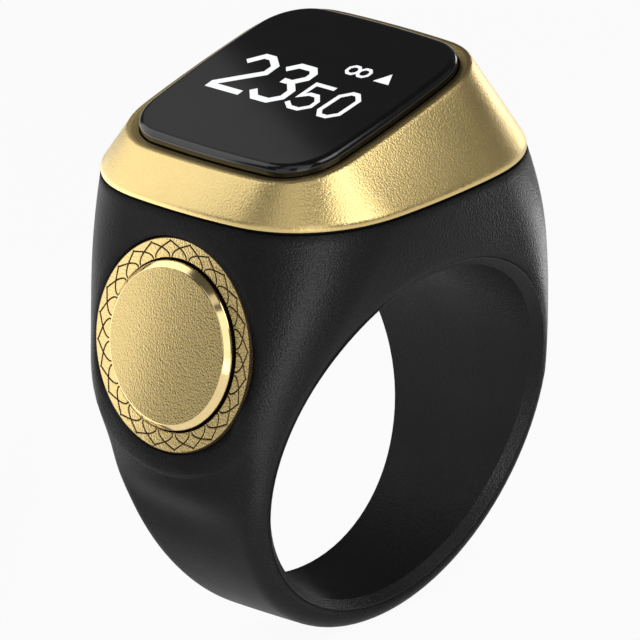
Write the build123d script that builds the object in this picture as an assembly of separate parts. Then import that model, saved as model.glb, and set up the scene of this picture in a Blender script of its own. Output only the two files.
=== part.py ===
from build123d import *
import math
import os

# Digital tasbih counter worn as a finger ring. All sizes are millimetres, all angles degrees.
# The origin is the centre of the finger bore, +Y runs along the finger,
# +Z rises through the display head, and the count button faces -X.

# Finger bore and its liner
bore_radius = 10.0
liner_wall = 0.54
liner_bevel = 0.48
bond_gap = 0.03
rim_radius = bore_radius + liner_wall
shell_bore = rim_radius + bond_gap

# Body shell, half-widths along the finger: low rim, bore centre, high rim, and the head's flare past it
flank_low = 3.36
flank_mid = 5.93
flank_high = 9.54
flank_points = 8
head_flare = 0.91
head_half_y = flank_high + head_flare

# Body shell, walls across the finger, built outwards from the bore
roof_wall = 1.03
side_wall = 1.03
low_wall = 1.18
head_inset = 0.285
cavity_depth = 3.05
ease_drop = 5.65
floor_z = shell_bore + roof_wall
head_top = floor_z + cavity_depth
ease_start = head_top - ease_drop
head_half_x = shell_bore - head_inset
shank_side_radius = shell_bore + side_wall
shank_low_radius = shell_bore + low_wall
pad_stand = 1.04
pad_roll = 6.0
pad_waist = 0.3
pad_round_z = 5.0
pad_fade_angle = 15.0
pad_reach = shell_bore + pad_stand
shank_crown = 0.03
head_crown = 1.0
crown_start = 4.0
crown_power = 3
lip_radius = 1.1
head_corner = 6.6
corner_power = 1.25

# Lofts: number of steps in the head and in the band, and how far inside the bore the band's sections start
head_levels = 12
shank_levels = 18
core_inset = 2.07
shank_core = shell_bore - core_inset

# Head cavity, one wall inside the head
head_wall_x = 1.385
head_wall_y = 1.75
head_wall_corner = 1.4
cavity_crown = 0.7
cavity_half_x = head_half_x - head_wall_x
cavity_half_y = head_half_y - head_wall_y
cavity_corner = head_corner - head_wall_corner

# Bezel and its gasket
gasket_thickness = 0.15
gasket_inset = 0.25
bezel_land = 0.3
bezel_rim = 0.6
bezel_edge = 0.2
bezel_run_x = 3.015
bezel_run_y = 3.14
bezel_base = head_top + gasket_thickness

# Display lens, in a plane that leans up from the button side
lens_tilt = 12.6
lens_offset_x = -0.81
lens_rise = 4.14
lens_crown = 0.35
lens_corner = 3.0
lens_gap = 0.08
lens_proud = 0.5
lens_sunk = 0.5
lens_edge = 0.42
glue_thickness = 0.1
ledge_width = 0.5
ledge_thickness = 0.6
lens_half_x = head_half_x - bezel_run_x
lens_half_y = head_half_y - bezel_run_y
lens_seat = lens_sunk + glue_thickness
ledge_back = lens_seat + ledge_thickness

# Display panel and its flex
panel_margin_x = 1.87
panel_margin_y = 1.41
panel_thickness = 1.2
flex_thickness = 0.1
display_flex_half = 3.0
display_flex_tab = 2.0
display_flex_inset = 0.5
panel_half_x = lens_half_x - panel_margin_x
panel_half_y = lens_half_y - panel_margin_y
panel_back = lens_seat + panel_thickness

# Main board and its screws
board_thickness = 0.6
board_gap = 0.3
board_rise = 0.15
board_top = bezel_base + board_rise
board_bottom = board_top - board_thickness
boss_radius = 0.85
boss_inset_x = 1.5
boss_inset_y = 1.3
side_boss_x = -1.5
side_boss_y = cavity_half_y - boss_inset_y
end_boss_x = cavity_half_x - boss_inset_x
end_boss_y = 3.5
screw_radius = 0.4
screw_length = 2.05
screw_play = 0.02
screw_head_radius = 0.85
screw_head_height = 0.4
screw_clearance = 0.15

# Blocks soldered to the board: length, width and height, spaced out from the board's middle
chip_gap = 0.4
processor_size = (4.0, 4.0, 0.8)
antenna_size = (1.6, 3.2, 1.1)
charger_size = (2.0, 2.0, 0.6)
memory_size = (2.0, 3.0, 0.7)
clock_size = (2.0, 1.6, 0.5)
driver_size = (2.0, 1.6, 0.6)
passive_size = (0.5, 1.0, 0.4)
passive_count = 5
passive_pitch = 1.0

# Charging contacts in the roof of the bore
contact_y = 2.6
contact_radius = 0.9
contact_recess = 0.03
contact_head_radius = 1.2
contact_head = 0.3
contact_play = 0.05
charge_flex_margin = 0.8
charge_flex_end = 1.2
charge_flex_gap = 0.4
charge_flex_half = contact_y + charge_flex_margin

# Battery, with its tape beside the charging flex
battery_margin_x = 2.9
battery_margin_y = 2.4
battery_thickness = 2.35
battery_round = 0.6
tape_thickness = 0.15
tape_inset = 1.0
tape_gap = 0.4
tape_width = 1.6
tab_length = 1.2
tab_width = 2.0
tab_inset = 1.2
tab_y = 2.5
battery_half_x = cavity_half_x - battery_margin_x
battery_half_y = cavity_half_y - battery_margin_y
battery_bottom = floor_z + tape_thickness
battery_top = battery_bottom + battery_thickness
tape_y = charge_flex_half + tape_gap + tape_width / 2
tab_x = battery_half_x - tab_inset

# Count button: trim ring, cap, seal and carrier; depths run inwards from the trim's face
button_drop = 7.12
button_tilt = 12.75
trim_recess = 0.03
trim_radius = 5.935
trim_width = 1.285
trim_play = 0.06
trim_thickness = 0.7
trim_edge = 0.1
trim_seat = 0.735
cap_play = 0.09
cap_proud = 0.5
cap_depth = 0.45
cap_bevel = 0.32
button_travel = 0.3
stop_gap = 0.05
seal_thickness = 0.2
seal_gap = 0.35
carrier_gap = 0.02
carrier_flange = 0.3
carrier_step = 0.25
pocket_play = 0.3
nub_radius = 0.8
nub_length = 0.18
button_z = head_top - button_drop
cap_radius = trim_radius - trim_width
carrier_flange_radius = trim_radius - trim_seat
carrier_hub_radius = cap_radius - carrier_step
seal_back = trim_thickness + seal_thickness
carrier_top = seal_back + carrier_gap
carrier_back = carrier_top + carrier_flange
pocket_depth = carrier_back + button_travel + stop_gap
nub_end = carrier_back + nub_length

# Round pad that the button sits in: a disc with a rounded rim, bowed below the button to meet the shoulder
pad_rim = 1.4
pad_edge = 0.6
pad_bow = 1.05
pad_bow_z = 6.5
pad_drop = 1.0
pad_inset = 0.04
pad_levels = 6
pad_radius = trim_radius + pad_rim

# Switch under the button
switch_rise = 0.5
switch_half = 1.3
switch_height = 0.75
switch_wall = 0.15
actuator_radius = 0.6
actuator_length = 0.55
actuator_play = 0.08
disc_thickness = 0.06
well_play = 0.1
switch_flex_half = 1.2
slot_depth = 0.35
switch_top = nub_end + button_travel + stop_gap
switch_back = switch_top + switch_height
switch_floor = switch_back - switch_wall
switch_flex_back = switch_back + flex_thickness
well_depth = switch_flex_back + carrier_gap

# Vibration motor in the plain shoulder
motor_drop = 1.0
motor_radius = 3.0
motor_thickness = 1.8
motor_wall = 0.65
motor_play = 0.15
motor_skin = 0.15
motor_base_thickness = 0.2
shaft_radius = 0.3
shaft_play = 0.04
rotor_play = 0.3
rotor_hub_radius = 0.8
rotor_thickness = 0.9
motor_flex_half = 1.0
motor_z = floor_z - motor_drop
motor_half = motor_thickness / 2
motor_floor = motor_base_thickness - motor_half
rotor_radius = motor_radius - motor_skin - rotor_play

# Length of a cut that passes everything
past_all = 30.0


# Form of the body shell


def fade(place, end):
    """Share that eases from 1 at 0 to 0 at the given end."""
    share = min(1.0, max(0.0, place / end))
    return (1 + math.cos(math.pi * share)) / 2


def flank_half(z):
    """Half-width of the body along the finger at height z."""
    taper = (flank_high - flank_low) / (2 * rim_radius)
    sweep = ((flank_high + flank_low) / 2 - flank_mid) / rim_radius**2
    plain_top = flank_mid + taper * head_top + sweep * head_top**2
    ease = (plain_top - head_half_y) / (head_top - ease_start) ** 2
    return flank_mid + taper * z + sweep * z * z - ease * max(0.0, z - ease_start) ** 2


def pad_wall(z):
    """Distance of the pad's plane from the middle plane; above the button it eases to the head."""
    lean = math.tan(math.radians(button_tilt))
    ease = (head_half_x - pad_reach + lean * button_drop) / button_drop**2
    return pad_reach - lean * (z - button_z) + ease * max(0.0, z - button_z) ** 2


def left_wall(z):
    """Distance of the button side's shoulder from the middle plane: it rolls in below the pad."""
    roll = math.tan(math.radians(button_tilt)) / (2 * pad_roll)
    return pad_wall(z) - roll * max(0.0, pad_roll - z) ** 2


def right_wall(z):
    """Distance of the plain side's wall from the middle plane at height z."""
    return shank_side_radius - (shank_side_radius - head_half_x) * (z / head_top) ** 2


def corner_radius(z):
    """Plan radius of the body's upright corners at height z."""
    return lip_radius + (head_corner - lip_radius) * (max(0.0, z) / head_top) ** corner_power


def crown(z):
    """How far the middle of each side stands out past its ends at height z."""
    share = max(0.0, z - crown_start) / (head_top - crown_start)
    return shank_crown + (head_crown - shank_crown) * share**crown_power


def pad_crown(z):
    """Crown of the button side: the shoulder's ends draw in below the pad."""
    return crown(z) + (left_wall(0) - shank_side_radius + pad_waist) * fade(z, pad_round_z)


def crowned_outline(left, right, half_y, crown_left, crown_right, crown_y, radius):
    """Face in the XY plane: four arched sides with rounded corners."""
    x0 = crown_left - left
    x1 = right - crown_right
    y1 = half_y - crown_y
    middle = (x0 + x1) / 2
    front = ThreePointArc((x0, -y1), (middle, -half_y), (x1, -y1))
    side_right = ThreePointArc((x1, -y1), (right, 0), (x1, y1))
    back = ThreePointArc((x1, y1), (middle, half_y), (x0, y1))
    side_left = ThreePointArc((x0, y1), (-left, 0), (x0, -y1))
    face = Face(Wire([front, side_right, back, side_left]))
    return face.fillet_2d(radius, face.vertices())


def even_outline(half_x, half_y, arch, radius):
    """Crowned outline with the same arch on all four sides."""
    return crowned_outline(half_x, half_x, half_y, arch, arch, arch, radius)


def head_section(z):
    """Level section of the head at height z."""
    sides = (left_wall(z), right_wall(z), flank_half(z))
    crowns = (pad_crown(z), crown(z), crown(z))
    return Pos(0, 0, z) * crowned_outline(*sides, *crowns, corner_radius(z))


def shank_reach(turn):
    """Outer radius of the band and its crown, turned from -X (0) through the bottom (90) to +X (180)."""
    low_share = math.sin(math.radians(turn)) ** 2
    reach = shank_side_radius + (shank_low_radius - shank_side_radius) * low_share
    stand = left_wall(0) - shank_side_radius
    share = fade(turn, pad_fade_angle)
    return reach + stand * share, shank_crown + (stand + pad_waist) * share


def shank_section(turn):
    """Section of the band in the plane that holds the bore's axis, turned down from -X."""
    angle = math.radians(turn)
    plane = Plane(
        origin=(0, 0, 0),
        x_dir=(-math.cos(angle), 0, -math.sin(angle)),
        z_dir=(-math.sin(angle), 0, math.cos(angle)),
    )
    reach, bow = shank_reach(turn)
    end = reach - bow
    inner = flank_half(-shank_core * math.sin(angle))
    outer = flank_half(-end * math.sin(angle)) - shank_crown
    low = Line((shank_core, -inner), (end, -outer))
    wall = ThreePointArc((end, -outer), (reach, 0), (end, outer))
    high = Line((end, outer), (shank_core, inner))
    core = Line((shank_core, inner), (shank_core, -inner))
    face = Face(Wire([low, wall, high, core]))
    outer_corners = face.vertices().sort_by(Axis.X)[2:]
    return plane * face.fillet_2d(lip_radius, outer_corners)


def eased_steps(count):
    """Shares from 0 to 1 that crowd together at both ends."""
    return [(1 - math.cos(math.pi * k / count)) / 2 for k in range(count + 1)]


def pad_section(z):
    """Level section of the half block that the pad is cut from, just inside the head's flanks."""
    sides = (pad_wall(z), 0, flank_half(z) - pad_inset)
    bow = crown(z) + pad_bow * fade(z, pad_bow_z)
    return Pos(0, 0, z) * crowned_outline(*sides, bow, crown(z), crown(z), corner_radius(z))


def button_pad():
    """Round pad that carries the button: a disc with a rounded rim, trimmed to the head's corners."""
    plane = button_plane()
    span = button_z + 2 * pad_drop
    block = loft([pad_section(span * k / pad_levels - pad_drop) for k in range(pad_levels + 1)])
    pad = disc(plane, pad_radius, 0, -pocket_depth)
    return fillet(edges_at(pad, plane, 0), pad_edge) & block


def shell_blank():
    """Outer form of the body: head lofted through level sections, band through turned ones, and the pad."""
    head = loft([head_section(head_top * share) for share in eased_steps(head_levels)])
    band = loft([shank_section(180 * share) for share in eased_steps(shank_levels)])
    return head + band + button_pad()


# Local frames and simple solids on them


def lens_plane():
    """Plane of the bezel's top rim: X climbs away from the button side, Z points out of the glass."""
    angle = math.radians(lens_tilt)
    return Plane(
        origin=(lens_offset_x, 0, head_top + lens_rise),
        x_dir=(math.cos(angle), 0, math.sin(angle)),
        z_dir=(-math.sin(angle), 0, math.cos(angle)),
    )


def button_plane():
    """Plane of the trim ring's face: Y climbs along the pad, Z points out of the button."""
    angle = math.radians(button_tilt)
    return Plane(
        origin=(trim_recess - left_wall(button_z), 0, button_z),
        x_dir=(0, -1, 0),
        z_dir=(-math.cos(angle), 0, math.sin(angle)),
    )


def motor_plane():
    """Middle plane of the coin motor: Y climbs along the shoulder, Z points out through the wall."""
    slope = 2 * (shank_side_radius - head_half_x) * motor_z / head_top**2
    angle = math.atan(slope)
    return Plane(
        origin=(right_wall(motor_z) - motor_wall - motor_half, 0, motor_z),
        x_dir=(0, 1, 0),
        z_dir=(math.cos(angle), 0, math.sin(angle)),
    )


def disc(plane, radius, top, bottom, rise=0.0):
    """Cylinder on a local frame between two heights above its plane."""
    return plane * Pos(0, rise, (top + bottom) / 2) * Cylinder(radius, top - bottom)


def slab(plane, half_x, y_from, y_to, top, bottom):
    """Box on a local frame, even about its Y axis."""
    box = Box(2 * half_x, y_to - y_from, top - bottom)
    return plane * Pos(0, (y_from + y_to) / 2, (top + bottom) / 2) * box


def raised(face, plane, bottom, top):
    """Prism of a flat outline between two heights above a local plane."""
    return plane * Pos(0, 0, bottom) * extrude(face, top - bottom, dir=(0, 0, 1))


def edges_at(shape, plane, height):
    """Edges of a shape that lie at one height above a local plane."""
    return [e for e in shape.edges() if abs(plane.to_local_coords(e @ 0.5).Z - height) < bond_gap]


def group(shapes):
    """Separate solids kept together as one node."""
    return Compound([shape.solid() for shape in shapes])


def lens_outline(grow):
    """Outline of the lens, grown all round by the given amount."""
    return even_outline(lens_half_x + grow, lens_half_y + grow, lens_crown, lens_corner + grow)


def cavity_outline(grow):
    """Outline of the head cavity, grown all round by the given amount."""
    return even_outline(cavity_half_x + grow, cavity_half_y + grow, cavity_crown, cavity_corner + grow)


def foot_outline(grow):
    """Outline of the bezel's foot and the shell's top, grown all round by the given amount."""
    return even_outline(head_half_x + grow, head_half_y + grow, head_crown, head_corner + grow)


def boss_points():
    """Screw places, in two pairs on both sides of the middle plane."""
    sides = [(side_boss_x, side_boss_y), (side_boss_x, -side_boss_y)]
    ends = [(end_boss_x, end_boss_y), (end_boss_x, -end_boss_y)]
    return sides + ends


def contact_post(side, radius, top, bottom):
    """Upright cylinder at one of the two charging contacts."""
    return disc(Plane((0, side * contact_y, 0)), radius, top, bottom)


# Casing


def button_cavity():
    """Stepped pocket for the trim, the carrier and the switch, with the flex's slot up to the head."""
    plane = button_plane()
    well_half = switch_half + well_play
    slot_end = (floor_z - button_z) / math.cos(math.radians(button_tilt)) + well_depth
    cut = disc(plane, trim_radius + trim_play, past_all / 2, -trim_thickness)
    cut += disc(plane, carrier_flange_radius + pocket_play, 0, -pocket_depth)
    cut += slab(plane, well_half, switch_rise - well_half, switch_rise + well_half, 0, -well_depth)
    slot_half = switch_flex_half + well_play
    return cut + slab(plane, slot_half, switch_rise, slot_end, slot_depth - well_depth, -well_depth)


def body_shell():
    """Matte black casing: display head and band in one moulding."""
    shell = shell_blank() - Rot(90, 0, 0) * Cylinder(shell_bore, past_all)
    shell -= raised(cavity_outline(0), Plane.XY, floor_z, past_all)
    shell -= button_cavity()
    shell -= disc(motor_plane(), motor_radius + motor_play, motor_half, -motor_half - 2 * motor_play)
    for side in (-1, 1):
        shell -= contact_post(side, contact_radius + contact_play, floor_z, bore_radius)
        shell -= contact_post(side, contact_head_radius + contact_play, floor_z, floor_z - contact_head)
    return shell


def between_flanks():
    """Prism across the body that ends at its two flared flanks."""
    reach = rim_radius + 1
    heights = [reach * (2 * k / flank_points - 1) for k in range(flank_points + 1)]
    front = Spline([(-flank_half(z), z) for z in heights])
    back = Spline([(flank_half(z), z) for z in reversed(heights)])
    lid = Line(front @ 1, back @ 0)
    foot = Line(back @ 1, front @ 0)
    return extrude(Plane.YZ * Face(Wire([front, lid, back, foot])), reach, both=True)


def bore_liner():
    """Smooth sleeve inside the bore, trimmed to the flanks, with bevelled ends."""
    tube = Cylinder(rim_radius, past_all) - Cylinder(bore_radius, past_all)
    sleeve = Rot(90, 0, 0) * tube & between_flanks()
    curves = [e for e in sleeve.edges() if e.geom_type != GeomType.LINE]
    rims = [e for e in curves if abs(math.hypot((e @ 0.3).X, (e @ 0.3).Z) - bore_radius) < bond_gap]
    sleeve = chamfer(rims, liner_bevel)
    for side in (-1, 1):
        sleeve -= contact_post(side, contact_radius + contact_play, floor_z, 0)
    return sleeve


def bezel():
    """Gold wedge that carries the lens: a thin shell with a ledge and four screw bosses."""
    plane = lens_plane()
    foot = foot_outline(0)
    rim = plane * lens_outline(lens_gap + bezel_rim)
    outer = loft([Pos(0, 0, bezel_base) * foot, Pos(0, 0, bezel_base + bezel_land) * foot, rim], ruled=True)
    outer = chamfer(edges_at(outer, plane, 0), bezel_edge)
    opening = lens_outline(-ledge_width)
    inner_foot = Pos(0, 0, bezel_base) * cavity_outline(0)
    wall = outer - loft([inner_foot, plane * Pos(0, 0, -ledge_back) * opening], ruled=True)
    for x, y in boss_points():
        wall += disc(Plane((x, y, board_top)), boss_radius, past_all, 0) & outer
    wall -= raised(opening, plane, -ledge_back, lens_proud)
    wall -= raised(lens_outline(lens_gap), plane, -lens_seat, lens_proud)
    hole_depth = screw_length - board_thickness + screw_clearance
    for x, y in boss_points():
        wall -= disc(Plane((x, y, board_top)), screw_radius + screw_play, hole_depth, 0)
    return wall


def bezel_gasket():
    """Thin seal between the shell's top and the bezel's foot."""
    ring = foot_outline(-gasket_inset) - cavity_outline(gasket_inset)
    return raised(ring, Plane.XY, head_top, bezel_base)


# Display


def display_lens():
    """Black glass with a rounded top edge."""
    plane = lens_plane()
    glass = raised(lens_outline(0), plane, -lens_sunk, lens_proud)
    return fillet(edges_at(glass, plane, lens_proud), lens_edge)


def lens_adhesive():
    """Glue frame between the lens and the bezel's ledge."""
    frame = lens_outline(-glue_thickness) - lens_outline(-ledge_width)
    return raised(frame, lens_plane(), -lens_seat, -lens_sunk)


def panel_layer(top, bottom):
    """Slab of the display panel's size behind the lens."""
    return slab(lens_plane(), panel_half_x, -panel_half_y, panel_half_y, -top, -bottom)


def optical_film():
    """Clear film that bonds the panel to the back of the lens."""
    return panel_layer(lens_sunk, lens_seat)


def display_panel():
    """Small display panel behind the lens."""
    return panel_layer(lens_seat, panel_back)


def display_flex():
    """Flex tail: a tab bonded behind the panel and a strip that drops to the board."""
    plane = lens_plane()
    start = display_flex_inset - panel_half_x
    level = -panel_back - flex_thickness / 2
    tab = Box(display_flex_tab, 2 * display_flex_half, flex_thickness)
    tab = plane * Pos(start + display_flex_tab / 2, 0, level) * tab
    corner = plane.from_local_coords((start, 0, level))
    drop = Box(flex_thickness, 2 * display_flex_half, corner.Z - board_top)
    return tab + Pos(corner.X + flex_thickness, 0, (corner.Z + board_top) / 2) * drop


# Electronics


def main_board():
    """Circuit board, screwed up against the bezel's bosses."""
    board = raised(cavity_outline(-board_gap), Plane.XY, board_bottom, board_top)
    for x, y in boss_points():
        board -= disc(Plane((x, y, 0)), screw_radius + screw_clearance, board_top, board_bottom)
    return board


def board_screws():
    """Screws from below the board into the bezel."""
    screws = []
    for x, y in boss_points():
        seat = Plane((x, y, board_bottom))
        shank = disc(seat, screw_radius, screw_length, 0)
        screws.append(shank + disc(seat, screw_head_radius, 0, -screw_head_height))
    return group(screws)


def block(place, size):
    """Block that stands on the board's top."""
    return Pos(place[0], place[1], board_top + size[2] / 2) * Box(*size)


def processor():
    """Main chip with the radio."""
    return block((processor_size[0] / 2, processor_size[1] / 2), processor_size)


def antenna():
    """Chip antenna near the board's edge."""
    return block((end_boss_x - boss_radius - antenna_size[0], -end_boss_y - chip_gap), antenna_size)


def board_chips():
    """Charger, memory, clock and driver chips round the middle, and a row of small passives."""
    blocks = [
        block((-chip_gap - charger_size[0] / 2, chip_gap + charger_size[1] / 2), charger_size),
        block((-chip_gap - memory_size[0] / 2, -chip_gap - memory_size[1] / 2), memory_size),
        block((clock_size[0] / 2, -chip_gap - clock_size[1] / 2), clock_size),
        block((driver_size[0] / 2, processor_size[1] + chip_gap + driver_size[1] / 2), driver_size),
    ]
    row_y = 2 * chip_gap + charger_size[1] + passive_size[1] / 2
    for k in range(passive_count):
        blocks.append(block((-chip_gap - passive_pitch * k - passive_size[0] / 2, row_y), passive_size))
    return group(blocks)


def battery_cell():
    """Lithium pouch cell on the cavity floor."""
    cell = slab(Plane.XY, battery_half_x, -battery_half_y, battery_half_y, battery_top, battery_bottom)
    return fillet(cell.edges().filter_by(Axis.Z), battery_round)


def battery_tape():
    """Two strips of tape under the cell."""
    strip = Box(2 * (battery_half_x - tape_inset), tape_width, tape_thickness)
    return group([Pos(0, side * tape_y, floor_z + tape_thickness / 2) * strip for side in (-1, 1)])


def battery_tabs():
    """Two tabs between the cell's top and the board's underside."""
    tab = Box(tab_length, tab_width, board_bottom - battery_top)
    middle = (board_bottom + battery_top) / 2
    return group([Pos(tab_x, side * tab_y, middle) * tab for side in (-1, 1)])


def charge_contacts():
    """Two plated pins that show in the roof of the bore."""
    pins = []
    for side in (-1, 1):
        pin = contact_post(side, contact_radius, floor_z, bore_radius + contact_recess)
        pins.append(pin + contact_post(side, contact_head_radius, floor_z, floor_z - contact_head))
    return group(pins)


def charge_flex():
    """Flex from the charging pins, under the cell and up to the board."""
    start = -battery_half_x - charge_flex_gap
    run = Box(charge_flex_end - start, 2 * charge_flex_half, flex_thickness)
    run = Pos((charge_flex_end + start) / 2, 0, floor_z + flex_thickness / 2) * run
    rise = Box(flex_thickness, 2 * charge_flex_half, board_bottom - floor_z)
    return run + Pos(start + flex_thickness / 2, 0, (board_bottom + floor_z) / 2) * rise


# Count button and its switch


def button_trim():
    """Gold ring set in the pad, which also keeps the button in."""
    plane = button_plane()
    ring = disc(plane, trim_radius, 0, -trim_thickness)
    ring -= disc(plane, cap_radius + cap_play, 0, -trim_thickness)
    return chamfer(edges_at(ring, plane, 0), trim_edge)


def button_cap():
    """Gold cap with a bevelled rim."""
    plane = button_plane()
    cap = disc(plane, cap_radius, cap_proud, -cap_depth)
    return chamfer(edges_at(cap, plane, cap_proud), cap_bevel)


def button_carrier():
    """Plastic carrier under the cap: hub, stop flange and the nub that works the switch."""
    plane = button_plane()
    hub = disc(plane, carrier_hub_radius, -cap_depth, -carrier_top)
    flange = disc(plane, carrier_flange_radius, -carrier_top, -carrier_back)
    return hub + flange + disc(plane, nub_radius, -carrier_back, -nub_end, switch_rise)


def button_seal():
    """Soft ring under the trim that the carrier's flange rests against."""
    plane = button_plane()
    ring = disc(plane, carrier_flange_radius, -trim_thickness, -seal_back)
    return ring - disc(plane, carrier_hub_radius + seal_gap, -trim_thickness, -seal_back)


def switch_actuator():
    """Post of the tact switch, pushed by the carrier's nub."""
    return disc(button_plane(), actuator_radius, -nub_end, -nub_end - actuator_length, switch_rise)


def switch_housing():
    """Body of the tact switch, with a bore for its post."""
    plane = button_plane()
    low, high = switch_rise - switch_half, switch_rise + switch_half
    body = slab(plane, switch_half, low, high, -switch_top, -switch_back)
    return body - disc(plane, actuator_radius + actuator_play, -switch_top, -switch_floor, switch_rise)


def snap_disc():
    """Spring disc on the floor of the switch."""
    top = disc_thickness - switch_floor
    return disc(button_plane(), actuator_radius, top, -switch_floor, switch_rise)


def switch_flex():
    """Flex from the switch up through the pad's slot to the board."""
    angle = math.radians(button_tilt)
    climb = (board_bottom - button_z + switch_back * math.sin(angle)) / math.cos(angle)
    low = switch_rise - switch_half
    return slab(button_plane(), switch_flex_half, low, climb, -switch_back, -switch_flex_back)


# Vibration motor


def motor_case():
    """Thin cup of the coin motor."""
    plane = motor_plane()
    cup = disc(plane, motor_radius, motor_half, motor_floor)
    return cup - disc(plane, motor_radius - motor_skin, motor_half - motor_skin, motor_floor)


def motor_base():
    """Base plate of the motor."""
    return disc(motor_plane(), motor_radius, motor_floor, -motor_half)


def motor_shaft():
    """Fixed shaft between the base and the cup."""
    return disc(motor_plane(), shaft_radius, motor_half - motor_skin, motor_floor)


def motor_rotor():
    """Eccentric weight: a half disc on a hub."""
    plane = motor_plane()
    middle = (motor_base_thickness - motor_skin) / 2
    top, bottom = middle + rotor_thickness / 2, middle - rotor_thickness / 2
    weight = disc(plane, rotor_radius, top, bottom)
    weight -= slab(plane, 2 * rotor_radius, 0, 2 * rotor_radius, top, bottom)
    weight += disc(plane, rotor_hub_radius, top, bottom)
    return weight - disc(plane, shaft_radius + shaft_play, top, bottom)


def motor_flex():
    """Lead flex from the motor's base up to the board."""
    plane = motor_plane()
    climb = (board_bottom - motor_z) / plane.y_dir.Z
    return slab(plane, motor_flex_half, 0, climb, -motor_half, -motor_half - flex_thickness)


casing = [body_shell, bore_liner, bezel, bezel_gasket]
display = [display_lens, lens_adhesive, optical_film, display_panel, display_flex]
electronics = [main_board, board_screws, processor, antenna, board_chips]
power = [battery_cell, battery_tape, battery_tabs, charge_contacts, charge_flex]
button = [button_trim, button_cap, button_carrier, button_seal]
switch = [switch_actuator, switch_housing, snap_disc, switch_flex]
motor = [motor_case, motor_base, motor_shaft, motor_rotor, motor_flex]

os.makedirs("parts", exist_ok=True)
for make in casing + display + electronics + power + button + switch + motor:
    export_step(make(), f"parts/{make.__name__}.step")
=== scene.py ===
# %% [markdown]
# # A finger-ring tasbih counter
# This lesson dresses a CAD model of a small electronic counter that is worn on a finger.
# The solids come from the frame, already in place and in metres. Blender adds what CAD leaves plain:
# the finishes, the engraved ring round the button, the lit digits, the light and the camera.

# %% Load the frame
import math
import bpy
from mathutils import Matrix, Vector


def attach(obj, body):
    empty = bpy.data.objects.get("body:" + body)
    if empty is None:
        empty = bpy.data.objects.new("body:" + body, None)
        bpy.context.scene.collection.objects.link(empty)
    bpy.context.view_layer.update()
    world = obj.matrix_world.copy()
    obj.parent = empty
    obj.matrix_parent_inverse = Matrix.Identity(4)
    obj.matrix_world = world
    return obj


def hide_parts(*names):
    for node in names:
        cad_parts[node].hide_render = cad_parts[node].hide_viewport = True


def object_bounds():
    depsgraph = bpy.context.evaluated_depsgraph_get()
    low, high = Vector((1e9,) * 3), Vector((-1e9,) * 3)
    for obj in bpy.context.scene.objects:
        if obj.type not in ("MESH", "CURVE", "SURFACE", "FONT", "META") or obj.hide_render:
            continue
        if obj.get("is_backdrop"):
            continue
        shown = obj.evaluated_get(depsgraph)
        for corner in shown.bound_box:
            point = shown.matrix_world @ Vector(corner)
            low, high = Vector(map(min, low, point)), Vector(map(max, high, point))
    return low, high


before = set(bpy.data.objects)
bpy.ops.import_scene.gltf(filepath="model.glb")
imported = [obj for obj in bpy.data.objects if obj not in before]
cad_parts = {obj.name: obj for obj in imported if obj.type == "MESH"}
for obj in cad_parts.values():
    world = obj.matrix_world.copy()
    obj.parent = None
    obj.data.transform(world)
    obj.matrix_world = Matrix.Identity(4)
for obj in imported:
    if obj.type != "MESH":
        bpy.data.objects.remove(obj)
cad_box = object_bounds()
MM = 0.001

# %% [markdown]
# ## Camera
# A product shot like this is taken with a long lens from far away, so edges hardly converge.
# The view is set by an azimuth, an elevation and a small roll, and the camera is then stepped back
# along that direction. Working from angles keeps the numbers readable.

# %% Camera
view_azimuth = math.radians(-44.102)
view_elevation = math.radians(21.101)
view_roll = math.radians(-3.853)
view_distance = 719.711 * MM
picture_pixels = 640
focal_pixels = 13095.473
aim_right = -0.582 * MM
aim_up = 4.92 * MM

to_camera = Vector((
    math.sin(view_azimuth) * math.cos(view_elevation),
    -math.cos(view_azimuth) * math.cos(view_elevation),
    math.sin(view_elevation),
))
level_right = Vector((math.cos(view_azimuth), math.sin(view_azimuth), 0))
level_up = to_camera.cross(level_right)
right = level_right * math.cos(view_roll) + level_up * math.sin(view_roll)
up = level_up * math.cos(view_roll) - level_right * math.sin(view_roll)
place = right * aim_right + up * aim_up + to_camera * view_distance

camera_data = bpy.data.cameras.new("camera")
camera_data.sensor_width = 36
camera_data.lens = focal_pixels * camera_data.sensor_width / picture_pixels
camera = bpy.data.objects.new("camera", camera_data)
turn = Matrix((right, up, to_camera)).transposed().to_4x4()
camera.matrix_world = Matrix.Translation(place) @ turn
bpy.context.scene.collection.objects.link(camera)
bpy.context.scene.camera = camera
bpy.context.scene.view_settings.view_transform = "Standard"
print("camera at", [round(v, 3) for v in place], "lens", round(camera_data.lens, 1))

# %% [markdown]
# ## Floor
# The ring stands on a pale table. A white table seen straight by the camera, or in a reflection, should be
# plain white, so its material glows for those rays and stays an ordinary matte surface for the rest,
# which keeps a soft shadow under the ring. A backdrop photo could do the same, but it would catch no shadow.


# %% Floor
def new_material(name):
    """A node material, with its nodes and links at hand."""
    material = bpy.data.materials.new(name)
    material.use_nodes = True
    return material, material.node_tree.nodes, material.node_tree.links


def add_math(tree, operation, first, second):
    """A Math node; each input is an output socket to link or a plain number."""
    node = tree.nodes.new("ShaderNodeMath")
    node.operation = operation
    for socket, source in zip(node.inputs, (first, second)):
        if isinstance(source, bpy.types.NodeSocket):
            tree.links.new(source, socket)
        else:
            socket.default_value = source
    return node.outputs[0]


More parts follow.
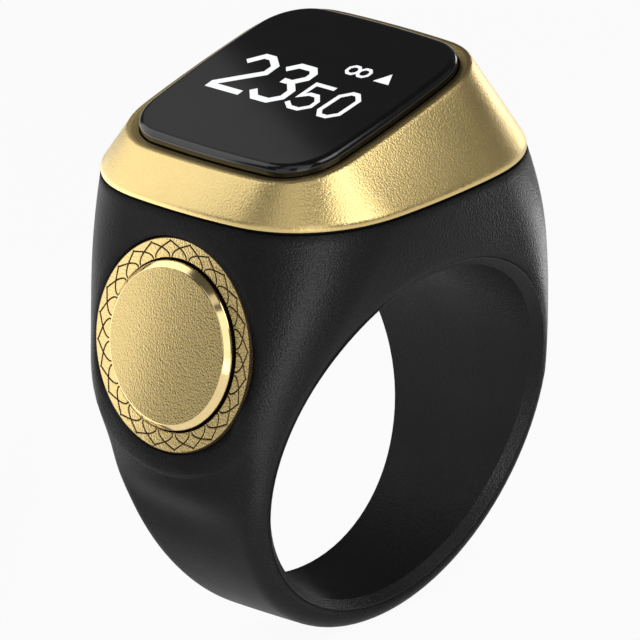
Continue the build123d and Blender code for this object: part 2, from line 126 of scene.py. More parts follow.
floor_half = 3.0
floor_z = cad_box[0][2]
floor_signs = [(-1, -1), (1, -1), (1, 1), (-1, 1)]
floor_corners = [(x * floor_half, y * floor_half, floor_z) for x, y in floor_signs]
floor_mesh = bpy.data.meshes.new("table")
floor_mesh.from_pydata(floor_corners, [], [(0, 1, 2, 3)])
floor = bpy.data.objects.new("table", floor_mesh)
bpy.context.scene.collection.objects.link(floor)
floor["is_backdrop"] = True

material, nodes, links = new_material("pale_table")
paint = nodes["Principled BSDF"]
paint.inputs["Base Color"].default_value = (0.88, 0.88, 0.88, 1)
paint.inputs["Roughness"].default_value = 0.9
paint.inputs["Specular IOR Level"].default_value = 0.1
glow = nodes.new("ShaderNodeEmission")
path = nodes.new("ShaderNodeLightPath")
seen = add_math(material.node_tree, "MAXIMUM", path.outputs["Is Camera Ray"], path.outputs["Is Glossy Ray"])
seen = add_math(material.node_tree, "MAXIMUM", seen, path.outputs["Is Transmission Ray"])
glow_share = 0.94
share = add_math(material.node_tree, "MULTIPLY", seen, glow_share)
blend = nodes.new("ShaderNodeMixShader")
links.new(share, blend.inputs[0])
links.new(paint.outputs[0], blend.inputs[1])
links.new(glow.outputs[0], blend.inputs[2])
links.new(blend.outputs[0], nodes["Material Output"].inputs["Surface"])
floor.data.materials.append(material)
print("table at z", round(floor_z / MM, 2), "mm")

# %% [markdown]
# ## Light
# The room is dim and grey. A satin metal shows the lamps as broad soft patches, so the lamps are cards with
# a chosen place, size and brightness. Some stand close by, as a jeweller's cards do: light from a near card
# fades across even a small flat face, which a far lamp can't do. The others are ordinary softboxes further
# off. Each line below gives a card's centre, what it faces, its width, its height and its brightness.

# %% Lamps
room_grey = 0.1
world = bpy.data.worlds.new("dim_room")
world.use_nodes = True
world.node_tree.nodes["Background"].inputs["Color"].default_value = (1, 1, 1, 1)
world.node_tree.nodes["Background"].inputs["Strength"].default_value = room_grey
bpy.context.scene.world = world


def soft_card(name, centre, target, width, height, radiance):
    """A rectangular lamp, in millimetres, facing a target; radiance is how bright the card itself looks."""
    data = bpy.data.lights.new(name, "AREA")
    data.shape = "RECTANGLE"
    data.size = width * MM
    data.size_y = height * MM
    data.energy = radiance * math.pi * data.size * data.size_y
    lamp = bpy.data.objects.new(name, data)
    away = (Vector(centre) - Vector(target)).normalized()
    lamp.location = Vector(centre) * MM
    lamp.rotation_euler = away.to_track_quat("Z", "Y").to_euler()
    lamp.visible_camera = False
    bpy.context.scene.collection.objects.link(lamp)
    print("lamp", name, "power", round(data.energy * 1000, 2), "mW")
    return lamp


soft_card("card_button_side", (-9.98, 16.68, 5.75), (-2.58, 9.98, 5.75), 25.5, 21.5, 1.25)
soft_card("card_bezel_side", (-14.9, 23.2, 36), (-1.6, 11.1, 36), 30, 36, 1.5)
soft_card("card_over_glass", (4, 27, 42), (-0.8, 0, 18.8), 20, 20, 0.36)
soft_card("strip_by_camera", (-49, -41, 26), (-12, -4, 12), 26, 70, 1.3)
soft_card("softbox_front", (8, -150, 155), (-3, -9, 16), 130, 110, 3.4)
soft_card("softbox_top", (-107, -17, 128), (-8, -7, 16), 80, 80, 0.75)
soft_card("softbox_right", (133, -128, 111), (3, -9, 16), 120, 120, 0.15)
soft_card("softbox_back_right", (204, 28, 26), (11, 0, 10), 60, 70, 3.3)
soft_card("softbox_left", (-205, 6, 66), (-12, 0, 8), 100, 90, 0.9)

# %% [markdown]
# ## Light for the black mouldings
# Black plastic needs far more light than gold before a highlight shows, and a lamp strong enough for it would
# burn out the gold. On a set such a lamp is flagged so that it falls only on the black. Light linking does
# the same: the lamp gets a collection of the objects that it may light.


# %% Flagged lamps
def light_only(lamp, *names):
    """Keep a lamp to some CAD nodes."""
    reached = bpy.data.collections.new(lamp.name + "_reach")
    for name in names:
        reached.objects.link(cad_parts[name])
    lamp.light_linking.receiver_collection = reached


by_camera = soft_card("card_by_camera", (-48, -53, 6), (-9, -8, 8), 28, 34, 25.0)
for_liner = soft_card("card_for_liner", (-48, -53, 6), (-9, -8, 8), 28, 34, 14.0)
right_low = soft_card("card_right_low", (40, -9, -5), (8.5, -8, 8.5), 24, 11, 6.8)
front_low = soft_card("card_front_low", (-17, -17, -7.5), (-9, -8, 2), 16, 8, 9.0)
light_only(by_camera, "body_shell")
light_only(for_liner, "bore_liner")
light_only(right_low, "body_shell", "bore_liner")
light_only(front_low, "body_shell", "bore_liner")

# %% [markdown]
# ## Grain
# Moulded plastic and bead-blasted metal share one thing: a fine, even, pebbled skin. One node group makes it
# from a fine noise, and gives a height for the bump and a mask for colour and roughness. A second group makes
# slow, cloudy patches, as handling leaves them. Both are placed in many materials.


# %% Shader groups
def new_group(name, inputs, outputs):
    """An empty shader group with float inputs and float outputs."""
    group = bpy.data.node_groups.new(name, "ShaderNodeTree")
    for socket, value in inputs:
        made = group.interface.new_socket(socket, in_out="INPUT", socket_type="NodeSocketFloat")
        made.default_value = value
    for socket in outputs:
        group.interface.new_socket(socket, in_out="OUTPUT", socket_type="NodeSocketFloat")
    return group, group.nodes.new("NodeGroupInput"), group.nodes.new("NodeGroupOutput")


def group_noise(group, scale, detail):
    """A noise texture in object space whose scale comes from a group input."""
    where = group.nodes.new("ShaderNodeTexCoord")
    noise = group.nodes.new("ShaderNodeTexNoise")
    noise.inputs["Detail"].default_value = detail
    group.links.new(where.outputs["Object"], noise.inputs["Vector"])
    group.links.new(scale, noise.inputs["Scale"])
    return noise.outputs["Fac"]


def stretch(group, value, low, high):
    """Stretch the middle of a noise to a full 0 to 1 mask."""
    node = group.nodes.new("ShaderNodeMapRange")
    node.inputs["From Min"].default_value = low
    node.inputs["From Max"].default_value = high
    group.links.new(value, node.inputs["Value"])
    return node.outputs["Result"]


pebble, start, end = new_group("pebbled_grain", [("Grains per metre", 8000.0)], ["Height", "Mask"])
grain = group_noise(pebble, start.outputs["Grains per metre"], 0.5)
pebble.links.new(grain, end.inputs["Height"])
pebble.links.new(stretch(pebble, grain, 0.3, 0.7), end.inputs["Mask"])

patches_per_metre = 260.0
cloud, start, end = new_group("cloudy_patches", [("Patches per metre", patches_per_metre)], ["Mask"])
patches = group_noise(cloud, start.outputs["Patches per metre"], 3.0)
cloud.links.new(stretch(cloud, patches, 0.35, 0.65), end.inputs["Mask"])
print("groups:", [g.name for g in bpy.data.node_groups])

# %% [markdown]
# ## Finishes
# Every finish below is the same small recipe: a colour that shifts slightly with the grain, a roughness that
# shifts with the grain and the cloudy patches, and a bump for the pebbled skin. Only the numbers differ,
# so one function builds them all and the values read like a paint card.


# %% Finish recipe
def place_group(material, group, **values):
    """Put a shader group in a material and set its inputs; spaces in names are written as underscores."""
    node = material.node_tree.nodes.new("ShaderNodeGroup")
    node.node_tree = group
    for name, value in values.items():
        node.inputs[name.replace("_", " ")].default_value = value
    return node


def finish(name, dark, light, metallic, rough, spread, grain, bump, specular=0.5, ease=0):
    """Pebbled finish: two colours, a roughness and its spread, grains per metre and bump height.

    The bump is in millimetres. With ease, edges are shaded as if rounded by that many millimetres."""
    material, nodes, links = new_material(name)
    shader = nodes["Principled BSDF"]
    shader.inputs["Metallic"].default_value = metallic
    shader.inputs["Specular IOR Level"].default_value = specular
    skin = place_group(material, pebble, Grains_per_metre=grain)
    handled = place_group(material, cloud, Patches_per_metre=patches_per_metre)
    tint = nodes.new("ShaderNodeMix")
    tint.data_type = "RGBA"
    tint.inputs["A"].default_value = (*dark, 1)
    tint.inputs["B"].default_value = (*light, 1)
    links.new(skin.outputs["Mask"], tint.inputs["Factor"])
    links.new(tint.outputs["Result"], shader.inputs["Base Color"])
    gloss = nodes.new("ShaderNodeMapRange")
    gloss.inputs["From Max"].default_value = 2.0
    gloss.inputs["To Min"].default_value = rough - spread
    gloss.inputs["To Max"].default_value = rough + spread
    uneven = add_math(material.node_tree, "ADD", skin.outputs["Mask"], handled.outputs["Mask"])
    links.new(uneven, gloss.inputs["Value"])
    links.new(gloss.outputs["Result"], shader.inputs["Roughness"])
    relief = nodes.new("ShaderNodeBump")
    relief.inputs["Distance"].default_value = bump * MM
    links.new(skin.outputs["Height"], relief.inputs["Height"])
    links.new(relief.outputs["Normal"], shader.inputs["Normal"])
    if ease:
        rounded = nodes.new("ShaderNodeBevel")
        rounded.inputs["Radius"].default_value = ease * MM
        links.new(rounded.outputs["Normal"], relief.inputs["Normal"])
    return material


def dress(material, *names):
    """Put a finish on CAD nodes, in every material slot their objects have."""
    for name in names:
        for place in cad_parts[name].material_slots:
            place.material = material


# %% [markdown]
# ## Casing
# The band and head are one black moulding with a fine matt skin, and the liner in the bore is a little
# glossier. Both are very dark and reflect little, so the specular level is low and soft highlights alone draw
# the shape. The bezel, the button and the ring round it are bead-blasted metal with one pale gold coat. The
# button and the ring get darker copies of the bezel's gold, as painted shade for the dimmer light that falls
# on them. The button's bevel is polished, and the glass is black from behind.

# %% Casing finishes
# The black moulding's own finish, also put on the gold walls round the button as painted shade for the gaps.
black_shell_and_gap_shade = finish("black_shell_and_gap_shade", (0.003, 0.003, 0.0032), (0.005, 0.005, 0.0053),
                     0, 0.41, 0.05, 10000, 0.027, specular=0.055, ease=0.8)
black_liner = finish("black_liner", (0.0045, 0.0045, 0.0047), (0.007, 0.007, 0.0073),
                     0, 0.42, 0.06, 10000, 0.027, specular=0.1)
satin_gold = finish("satin_gold", (0.67, 0.51, 0.215), (0.73, 0.56, 0.245), 1, 0.36, 0.05, 9500, 0.015)
# Painted shade: the button and ring golds are the bezel gold scaled darker, for the dimmer light on them.
shaded_button_gold = finish("shaded_button_gold", (0.45, 0.342, 0.146), (0.495, 0.378, 0.163), 1, 0.26, 0.04, 9500, 0.016)
shaded_ring_gold = finish("shaded_ring_gold", (0.54, 0.41, 0.175), (0.595, 0.455, 0.197), 1, 0.26, 0.04, 9500, 0.016)
polished_gold = finish("polished_gold", (0.80, 0.62, 0.30), (0.84, 0.66, 0.33), 1, 0.11, 0.03, 3000, 0.001)
# Painted shade for the grooves and the outer edge of the engraved ring.
groove_edge_shade = finish("groove_edge_shade", (0.035, 0.02, 0.008), (0.07, 0.042, 0.016),
                        0, 0.7, 0.1, 9000, 0.005, specular=0.15)
black_glass = finish("black_glass", (0.002, 0.002, 0.0022), (0.003, 0.003, 0.0032),
                     0, 0.14, 0.02, 900, 0.0001)
dress(black_shell_and_gap_shade, "body_shell")
dress(black_liner, "bore_liner")
dress(satin_gold, "bezel")
dress(black_glass, "display_lens")
print("finishes:", len(bpy.data.materials))


# %% Piece helper
def add_piece(name, points, faces, body, materials, face_finish=None):
    """A smooth mesh piece that rides on a body; face_finish picks one of its materials for each face."""
    mesh = bpy.data.meshes.new(name)
    mesh.from_pydata(points, [], faces)
    for material in materials:
        mesh.materials.append(material)
    mesh.polygons.foreach_set("use_smooth", [True] * len(faces))
    if face_finish:
        mesh.polygons.foreach_set("material_index", face_finish)
    mesh.validate()
    piece = bpy.data.objects.new(name, mesh)
    bpy.context.scene.collection.objects.link(piece)
    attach(piece, body)
    print(name, "faces", len(faces))
    return piece


# %% [markdown]
# ## Bezel
# The bezel is a blasted gold wedge between a level foot and a tilted rim. Its outlines are rectangles with
# arched sides and rounded corners, and its walls run straight from one to the other. A CAD edge is crisp,
# while blasting softens it, so this mesh follows the same outlines with rounded edges, and with a rim that
# dips a little towards the glass. It is built as rows of points that go once round the section: under,
# outside, rim, inside.

# %% Outlines
def crowned_outline(half_x, half_y, arch, corner):
    """Points round a rectangle with arched sides and rounded corners, in millimetres."""
    side_radius = ((half_y - arch) ** 2 + arch ** 2) / (2 * arch)
    end_radius = ((half_x - arch) ** 2 + arch ** 2) / (2 * arch)
    side = Vector((half_x - side_radius, 0))
    end = Vector((0, half_y - end_radius))
    span = (end - side).length
    toward = (end - side) / span
    along = ((side_radius - corner) ** 2 - (end_radius - corner) ** 2 + span ** 2) / (2 * span)
    off = math.sqrt((side_radius - corner) ** 2 - along ** 2)
    middle = side + toward * along + Vector((toward.y, -toward.x)) * -off
    if middle.x < 0 or middle.y < 0:
        middle = side + toward * along + Vector((toward.y, -toward.x)) * off
    low = math.atan2(middle.y - side.y, middle.x - side.x)
    high = math.atan2(middle.y - end.y, middle.x - end.x)
    arcs = [(side, side_radius, 0, low), (middle, corner, low, high), (end, end_radius, high, math.pi / 2)]
    quadrant = []
    for centre, radius, first, last in arcs:
        for i in range(outline_steps):
            angle = first + (last - first) * i / outline_steps
            quadrant.append((centre.x + radius * math.cos(angle), centre.y + radius * math.sin(angle)))
    top = (0.0, half_y)
    second = [(-x, y) for x, y in [top] + quadrant[:0:-1]]
    half = quadrant + second
    return half + [(-x, -y) for x, y in half]


def softened(outline):
    """The same outline with the change from side to corner eased, as blasting leaves it."""
    for _ in range(blasting_passes):
        count = len(outline)
        outline = [
            (x / 2 + (outline[i - 1][0] + outline[(i + 1) % count][0]) / 4,
             y / 2 + (outline[i - 1][1] + outline[(i + 1) % count][1]) / 4)
            for i, (x, y) in enumerate(outline)
        ]
    return outline


outline_steps = 32
blasting_passes = 12
glass_tilt = math.radians(12.6)
glass_middle = Vector((-0.81, 0, 18.79)) * MM
glass_axes = Matrix((
    (0, -1, 0),
    (math.cos(glass_tilt), 0, math.sin(glass_tilt)),
    (-math.sin(glass_tilt), 0, math.cos(glass_tilt)),
)).transposed()
glass_half = (7.27, 7.31)
glass_arch = 0.35
glass_corner = 3.0


def on_glass(across, along, height):
    """A point over the glass, in millimetres from its middle: across towards -Y, along up the slope."""
    return glass_middle + glass_axes @ Vector((across, along, height)) * MM


def glass_row(grow, height):
    """Row of points on the glass outline, grown all round, at a height over the glass plane."""
    outline = crowned_outline(glass_half[0] + grow, glass_half[1] + grow, glass_arch, glass_corner + grow)
    return [on_glass(-y, x, height) for x, y in softened(outline)]


def level_row(half_x, half_y, arch, corner, height):
    """Row of points on a level outline at a height in the frame."""
    return [Vector((x, y, height)) * MM for x, y in softened(crowned_outline(half_x, half_y, arch, corner))]


# %% Bezel
def bend(first, corner_row, last, steps=6):
    """Rows of a rounded edge that leaves one row and reaches another, pulled towards a corner row."""
    rows = []
    for i in range(steps + 1):
        t = i / steps
        ends = zip(first, corner_row, last)
        rows.append([a * (1 - t) ** 2 + b * 2 * t * (1 - t) + c * t ** 2 for a, b, c in ends])
    return rows


def between(first, last, share):
    """A row part of the way from one row to another."""
    return [a.lerp(b, share) for a, b in zip(first, last)]


foot_half = (10.285, 10.45)
foot_arch = 1.0
foot_corner = 6.6
foot_lip = 0.1
foot_z = 14.80
hollow_half = (8.9, 8.7)
hollow_arch = 0.7
hollow_corner = 5.2
land = 0.3
rim_width = 0.6
lens_play = 0.08
rim_dip = 0.18
lens_seat = 0.6
lip_low = 0.3
ledge_back = 1.2
ledge_width = 0.5
wall_start = 0.1
wall_step = 0.08
wall_rows = 11

foot = level_row(*foot_half, foot_arch, foot_corner, foot_z)
land_top = level_row(*foot_half, foot_arch, foot_corner, foot_z + land)
lip_half = (foot_half[0] - foot_lip, foot_half[1] - foot_lip)
foot_inside = level_row(*lip_half, foot_arch, foot_corner - foot_lip, foot_z)
hollow = level_row(*hollow_half, hollow_arch, hollow_corner, foot_z)
rim_out = glass_row(lens_play + rim_width, 0)
rim_in = glass_row(lens_play, -rim_dip)
rim_low = glass_row(lens_play, -lip_low)

# The shares below say how far along a wall each rounded edge starts and stops.
rows = [hollow, foot_inside]
rows += bend(between(foot_inside, foot, 0.3), foot, between(foot, land_top, 0.3), 4)
rows += bend(between(foot, land_top, 0.55), land_top, between(land_top, rim_out, 0.06))
rows += [between(land_top, rim_out, wall_start + wall_step * i) for i in range(wall_rows)]
rows += bend(between(land_top, rim_out, 0.94), rim_out, between(rim_out, rim_in, 0.42))
rows += [between(rim_out, rim_in, 0.7), between(rim_out, rim_in, 0.96)]
rows += [rim_in, between(rim_in, rim_low, 0.4)]
rows += [glass_row(lens_play, -lens_seat)]
rows += [glass_row(-ledge_width, -lens_seat), glass_row(-ledge_width, -ledge_back)]


def skin(rows):
    """Points and faces of a closed band made of closed rows."""
    count = len(rows[0])
    points = [p for row in rows for p in row]
    faces = []
    for r in range(len(rows)):
        here = r * count
        there = (r + 1) % len(rows) * count
        for i in range(count):
            j = (i + 1) % count
            faces.append((here + i, here + j, there + j, there + i))
    return points, faces


# %% Screw bosses under the bezel
boss_bottom = 14.95
boss_radius = 0.85
boss_hole = 0.42
boss_hole_depth = 1.6
boss_height = 2.0
boss_edge = 0.06
boss_steps = 32
boss_places = [(-1.5, 7.4), (-1.5, -7.4), (7.4, 3.5), (7.4, -3.5)]
boss_section = [
    (boss_hole, boss_hole_depth),
    (boss_hole, 0.0),
    (boss_radius - boss_edge, 0.0),
    (boss_radius, boss_edge),
    (boss_radius, boss_height),
]
points, faces = skin(rows)
for boss_x, boss_y in boss_places:
    start = len(points)
    for c in range(boss_steps):
        angle = 2 * math.pi * c / boss_steps
        for r, h in boss_section:
            x = boss_x + r * math.cos(angle)
            y = boss_y + r * math.sin(angle)
            points.append(Vector((x, y, boss_bottom + h)) * MM)
    count = len(boss_section)
    for c in range(boss_steps):
        here = start + c * count
        there = start + (c + 1) % boss_steps * count
        faces += [(here + r, here + r + 1, there + r + 1, there + r) for r in range(count - 1)]
    faces.append([start + c * count for c in range(boss_steps)])
    faces.append([start + c * count + count - 1 for c in reversed(range(boss_steps))])
bezel = add_piece("blasted_bezel", points, faces, "ring", [satin_gold])
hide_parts("bezel")

# %% [markdown]
# ## Engraved ring round the button
# Round the button runs a fixed gold ring, engraved with a band of overlapping petals. Bump would lose its
# edges, so the ring is a fine polar grid whose points sink where a groove runs. Each petal has two edges that
# start together at its tip near the rim and swing apart to its neighbours' middles at the base, in a soft S.
# One petal's depths are worked out once and repeated round the ring. The grooves and the ring's outer edge
# get a dark brown finish, which is painted shade in the recesses and on the edge. The inner wall and the
# underside get the black moulding finish, which is painted shade that makes the gap round the button look
# black.

# %% Button plane
button_tilt = math.radians(12.75)
button_face = Vector((-11.58, 0, 7.53)) * MM
button_axes = Matrix((
    (0, -1, 0),
    (math.sin(button_tilt), 0, math.cos(button_tilt)),
    (-math.cos(button_tilt), 0, math.sin(button_tilt)),
)).transposed()


def on_button(radius, angle, height):
    """A point by the button, in millimetres from the middle of the ring's face."""
    local = Vector((radius * math.cos(angle), radius * math.sin(angle), height))
    return button_face + button_axes @ local * MM


# %% Petal grooves
petal_count = 24
petal_pitch = 2 * math.pi / petal_count
first_tip = math.radians(8.7)
tip_radius = 5.74
base_radius = 4.86
petal_swing = math.radians(13.8)
swing_ease = 0.75
groove_half = 0.055
groove_depth = 0.06


def swing_at(radius):
    """How far a petal's edge has swung round from its tip, at this radius."""
    way = min(max((tip_radius - radius) / (tip_radius - base_radius), 0), 1) ** swing_ease
    return petal_swing * way * way * (3 - 2 * way)


def groove_at(radius, angle):
    """Depth of the engraving at a place, with the angle counted from the nearest tip."""
    if radius > tip_radius:
        away = math.hypot(radius - tip_radius, angle * radius)
    else:
        step = 0.01
        slope = radius * (swing_at(radius + step) - swing_at(radius - step)) / (2 * step)
        lines = [tip + side * swing_at(radius) for tip in (-petal_pitch, 0, petal_pitch) for side in (-1, 1)]
        away = min(abs(angle - line) for line in lines) * radius / math.hypot(1, slope)
    if away >= groove_half:
        return 0.0
    return groove_depth * 0.5 * (1 + math.cos(math.pi * away / groove_half))


# %% Engraved ring
trim_inner = 4.74
trim_outer = 5.935
trim_thick = 0.7
trim_round = 0.1
angle_steps = 60
face_steps = 46
dark_from = 0.12


def quarter(centre_r, centre_h, radius, start, turn, steps=4):
    """Points of a rounded edge in a section of radius and height."""
    angles = [start + turn * i / steps for i in range(steps + 1)]
    return [(centre_r + radius * math.cos(a), centre_h + radius * math.sin(a)) for a in angles]


face_low = trim_inner + trim_round
face_high = trim_outer - trim_round
face_radii = [face_low + (face_high - face_low) * i / face_steps for i in range(1, face_steps)]
inner_edge = quarter(face_low, -trim_round, trim_round, math.pi, -math.pi / 2)
outer_edge = quarter(face_high, -trim_round, trim_round, math.pi / 2, -math.pi / 2)
section = [(trim_inner, -trim_thick)] + inner_edge
section += [(r, 0.0) for r in face_radii] + outer_edge + [(trim_outer, -trim_thick)]

offsets = [petal_pitch * (i / angle_steps - 0.5) for i in range(angle_steps)]
depths = [[groove_at(r, offset) if h > -0.001 else 0.0 for r, h in section] for offset in offsets]
points = []
for petal in range(petal_count):
    tip_angle = petal * petal_pitch + first_tip
    for offset, column in zip(offsets, depths):
        points += [on_button(r, tip_angle + offset, h - d) for (r, h), d in zip(section, column)]

columns = petal_count * angle_steps
rows = len(section)
outer_start = rows - 1 - len(outer_edge)
faces = []
face_finish = []
for c in range(columns):
    here = c * rows
    there = (c + 1) % columns * rows
    near = depths[c % angle_steps]
    far = depths[(c + 1) % angle_steps]
    for r in range(rows):
        s = (r + 1) % rows
        faces.append((here + r, here + s, there + s, there + r))
        cut = (near[r] + near[s] + far[r] + far[s]) / 4
        # Deep groove faces and the outer edge take painted shade, and the inner wall and underside take the
        # black moulding finish as painted shade for the gap.
        inner_wall = r == 0 or r == rows - 1
        dark = cut > dark_from * groove_depth or outer_start <= r < rows - 1
        face_finish.append(2 if inner_wall else 1 if dark else 0)
trim_finishes = [shaded_ring_gold, groove_edge_shade, black_shell_and_gap_shade]
trim = add_piece("engraved_ring", points, faces, "ring", trim_finishes, face_finish)
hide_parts("button_trim")

# %% [markdown]
# ## Button cap
# The cap is a turned gold disc: a satin face and a polished bevel round it. A lathe section spun round the
# press axis gives it, with the bevel's two corners softened so that they catch a thin line of light. A row
# held close beside each corner keeps the shading of the flats flat. Its side wall and underside take the
# black moulding finish, which is painted shade that makes the gap round the cap look black.

# %% Button cap
cap_radius = 4.65
cap_proud = 0.5
cap_bevel = 0.32
cap_depth = 0.45
cap_core = 1.2
cap_middle = 2.6
cap_steps = 240
corner = 0.03
slant = 0.7 * corner
hold = 0.02
bevel_top = cap_radius - cap_bevel
bevel_foot = cap_proud - cap_bevel
cap_section = [
    (cap_core, cap_proud),
    (cap_middle, cap_proud),
    (bevel_top - corner - hold, cap_proud),
    (bevel_top - corner, cap_proud),
    (bevel_top + slant, cap_proud - slant),
    (bevel_top + slant + hold, cap_proud - slant - hold),
    (cap_radius - slant - hold, bevel_foot + slant + hold),
    (cap_radius - slant, bevel_foot + slant),
    (cap_radius, bevel_foot - corner),
    (cap_radius, bevel_foot - corner - hold),
    (cap_radius, -cap_depth),
    (cap_middle, -cap_depth),
    (cap_core, -cap_depth),
]
# The cap's side wall and underside take the black moulding finish: painted shade for the gap round the cap.
row_finish = [0, 0, 0, 1, 1, 1, 1, 1, 1, 2, 2, 2]
points = [on_button(0, 0, cap_proud), on_button(0, 0, -cap_depth)]
rows = len(cap_section)
for c in range(cap_steps):
    angle = 2 * math.pi * c / cap_steps
    points += [on_button(r, angle, h) for r, h in cap_section]
faces = []
face_finish = []
for c in range(cap_steps):
    here = 2 + c * rows
    there = 2 + (c + 1) % cap_steps * rows
    faces.append((0, here, there))
    face_finish.append(0)
    for r in range(rows - 1):
        faces.append((here + r, here + r + 1, there + r + 1, there + r))
        face_finish.append(row_finish[r])
    faces.append((1, there + rows - 1, here + rows - 1))
    face_finish.append(2)
cap_finishes = [shaded_button_gold, polished_gold, black_shell_and_gap_shade]
cap = add_piece("count_button", points, faces, "button", cap_finishes, face_finish)
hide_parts("button_cap")

# %% [markdown]
# ## Lit digits
# The display shows four plain digits, a repeat sign and a level mark as white light. On the real thing they
# are rows of tiny lamps under the glass. Here each is a thin flat ribbon on the glass, mitred at its corners,
# that glows. A font would be quicker, but these have the cut corners of a segment display.

# %% Digit helpers
glass_proud = 0.5
film_low = glass_proud + 0.004
film_high = glass_proud + 0.012


def mitres(line, width, closed):
    """The two edges of a ribbon that follows a line, as pairs of points."""
    pairs = []
    count = len(line)
    for i, point in enumerate(line):
        here = Vector(point)
        before = Vector(line[i - 1]) if closed or i else None
        after = Vector(line[(i + 1) % count]) if closed or i < count - 1 else None
        inward = (here - before).normalized() if before else (after - here).normalized()
        onward = (after - here).normalized() if after else inward
        side = (inward + onward).normalized()
        side = Vector((-side.y, side.x))
        reach = width / 2 / max(side.dot(Vector((-inward.y, inward.x))), 0.5)
        pairs.append((here + side * reach, here - side * reach))
    return pairs


def ribbon(line, width, closed, points, faces):
    """Add a thin solid ribbon to a list of points and faces."""
    start = len(points)
    for left, right_side in mitres(line, width, closed):
        for height in (film_high, film_low):
            points.append(on_glass(left.x, left.y, height))
            points.append(on_glass(right_side.x, right_side.y, height))
    count = len(line)
    for i in range(count if closed else count - 1):
        a = start + 4 * i
        b = start + 4 * ((i + 1) % count)
        faces += [(a, a + 1, b + 1, b), (a + 2, b + 2, b + 3, a + 3)]
        faces += [(a + 1, a + 3, b + 3, b + 1), (a, b, b + 2, a + 2)]
    if not closed:
        last = start + 4 * (count - 1)
        faces += [(start, start + 2, start + 3, start + 1), (last, last + 1, last + 3, last + 2)]


# %% Digit lines
def octagon(across, along, radius):
    """Corners of an eight-sided loop."""
    angles = [math.radians(22.5 + 45 * i) for i in range(8)]
    return [(across + radius * math.cos(a), along + radius * math.sin(a)) for a in angles]


tall_stroke = 0.45
small_stroke = 0.3
fine_stroke = 0.2
two = [(-4.62, 0.85), (-3.95, 1.67), (-3.38, 1.67), (-2.65, 1.08), (-2.65, 0.3), (-4.85, -1.6),
       (-4.85, -1.87), (-2.56, -1.87)]
three = [(-1.83, 1.08), (-1.25, 1.67), (-0.28, 1.67), (0.08, 1.3), (0.08, 0.78), (-0.55, 0.12), (0.12, -0.55),
         (0.12, -1.3), (-0.5, -1.87), (-1.5, -1.87), (-2.1, -1.28)]
three_middle = [(-1.2, 0.12), (-0.72, 0.12)]
five = [(2.45, 0.55), (1.02, 0.55), (0.96, -0.72), (1.4, -0.4), (1.95, -0.4), (2.37, -0.85), (2.37, -1.4),
        (1.85, -1.87), (1.2, -1.87), (0.68, -1.48)]
zero = [(3.72, 0.6), (4.12, 0.6), (4.6, 0.12), (4.52, -1.38), (3.98, -1.85), (3.45, -1.85), (3.1, -1.42),
        (3.2, 0.1)]
loop_left = octagon(1.97, 2.53, 0.4)
loop_right = octagon(2.79, 2.53, 0.4)
level = [(3.85, 2.1), (5.0, 2.1), (4.45, 3.05)]
glyphs = {
    "digit_two": [(two, tall_stroke, False)],
    "digit_three": [(three, tall_stroke, False), (three_middle, tall_stroke, False)],
    "digit_five": [(five, small_stroke, False)],
    "digit_zero": [(zero, small_stroke, True)],
    "repeat_sign": [(loop_left, fine_stroke, True), (loop_right, fine_stroke, True)],
}

# %% Lit digits
lit, nodes, links = new_material("lit_pixels")
shader = nodes["Principled BSDF"]
shader.inputs["Base Color"].default_value = (0.02, 0.02, 0.02, 1)
shader.inputs["Roughness"].default_value = 0.2
shader.inputs["Emission Strength"].default_value = 1.0
pixels = place_group(lit, pebble, Grains_per_metre=9000.0)
shade = nodes.new("ShaderNodeMix")
shade.data_type = "RGBA"
shade.inputs["A"].default_value = (0.93, 0.95, 1.0, 1)
shade.inputs["B"].default_value = (1.0, 1.0, 1.0, 1)
links.new(pixels.outputs["Mask"], shade.inputs["Factor"])
links.new(shade.outputs["Result"], shader.inputs["Emission Color"])

for name, strokes in glyphs.items():
    points = []
    faces = []
    for line, width, closed in strokes:
        ribbon(line, width, closed, points, faces)
    add_piece(name, points, faces, "ring", [lit])
top = [on_glass(a, b, film_high) for a, b in level]
bottom = [on_glass(a, b, film_low) for a, b in level]
sides = [(i, i + 3, (i + 1) % 3 + 3, (i + 1) % 3) for i in range(3)]
add_piece("level_mark", top + bottom, [(0, 1, 2), (5, 4, 3)] + sides, "ring", [lit])

# %% [markdown]
# ## Inside finishes
# The electronics are hidden in use, but a part that is taken apart shows them, so each gets its own finish:
# amber flex film, solder-masked board, moulded chips, foil cell, plated pins and plain steel.

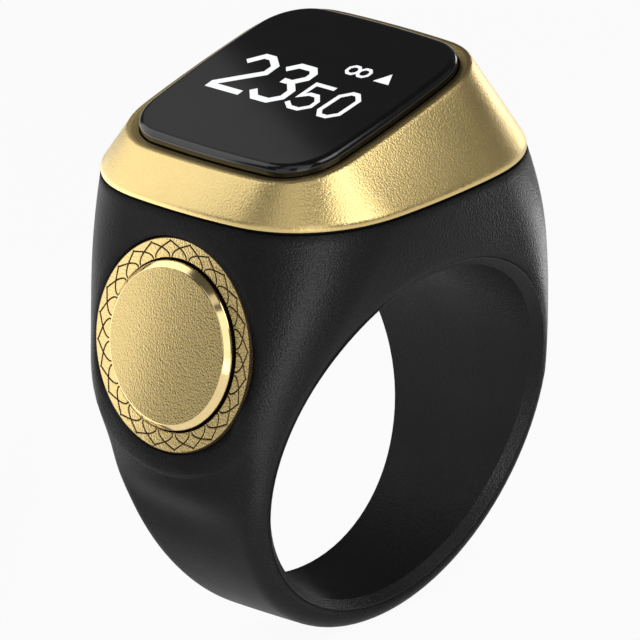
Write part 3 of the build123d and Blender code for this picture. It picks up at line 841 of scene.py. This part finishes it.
# %% Inside finishes
soft_rubber = finish("soft_rubber", (0.012, 0.012, 0.012), (0.02, 0.02, 0.02), 0, 0.8, 0.06, 5000, 0.01, 0.3)
cured_glue = finish("cured_glue", (0.55, 0.55, 0.52), (0.66, 0.66, 0.62), 0, 0.25, 0.08, 1500, 0.004)
panel_glass = finish("panel_glass", (0.010, 0.010, 0.014), (0.016, 0.016, 0.022), 0, 0.12, 0.04, 900, 0.001)
amber_film = finish("amber_film", (0.42, 0.18, 0.03), (0.58, 0.28, 0.06), 0, 0.3, 0.08, 2500, 0.004)
solder_mask = finish("solder_mask", (0.008, 0.07, 0.03), (0.016, 0.12, 0.055), 0, 0.35, 0.08, 2000, 0.006)
moulded_chip = finish("moulded_chip", (0.018, 0.018, 0.018), (0.035, 0.035, 0.035), 0, 0.6, 0.08, 9000, 0.01)
fired_ceramic = finish("fired_ceramic", (0.66, 0.64, 0.58), (0.78, 0.76, 0.70), 0, 0.5, 0.08, 7000, 0.01)
foil_pouch = finish("foil_pouch", (0.58, 0.58, 0.60), (0.72, 0.72, 0.74), 1, 0.35, 0.1, 1200, 0.02)
paper_tape = finish("paper_tape", (0.70, 0.69, 0.64), (0.82, 0.81, 0.76), 0, 0.85, 0.06, 9000, 0.01)
plain_steel = finish("plain_steel", (0.42, 0.42, 0.43), (0.58, 0.58, 0.59), 1, 0.32, 0.08, 4000, 0.006)
plated_pin = finish("plated_pin", (0.74, 0.52, 0.20), (0.86, 0.64, 0.28), 1, 0.22, 0.06, 3000, 0.003)
inner_moulding = finish("inner_moulding", (0.05, 0.05, 0.052), (0.08, 0.08, 0.083), 0, 0.55, 0.08, 6000, 0.01)
sintered = finish("sintered_weight", (0.16, 0.16, 0.17), (0.24, 0.24, 0.25), 1, 0.5, 0.1, 7000, 0.01)
dress(soft_rubber, "bezel_gasket", "button_seal")
dress(cured_glue, "lens_adhesive", "optical_film")
dress(panel_glass, "display_panel")
dress(amber_film, "display_flex", "charge_flex", "switch_flex", "motor_flex")
dress(solder_mask, "main_board")
dress(moulded_chip, "processor", "board_chips")
dress(fired_ceramic, "antenna")
dress(foil_pouch, "battery_cell")
dress(paper_tape, "battery_tape")
dress(plain_steel, "board_screws", "battery_tabs", "snap_disc", "motor_case", "motor_base", "motor_shaft")
dress(plated_pin, "charge_contacts")
dress(inner_moulding, "button_carrier", "switch_actuator", "switch_housing")
dress(sintered, "motor_rotor")
print("slots on CAD nodes:", sum(len(o.material_slots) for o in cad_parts.values()))

# %% [markdown]
# ## Sizes and the end
# The boxes of the CAD solids and of the dressed model are printed side by side. The
# dressed model must not grow past the CAD solids.

# %% Finish
visual_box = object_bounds()
boxes = {"cad": cad_box, "visual": visual_box}
for name, box in boxes.items():
    print(name, [[round(v / MM, 3) for v in c] for c in box])
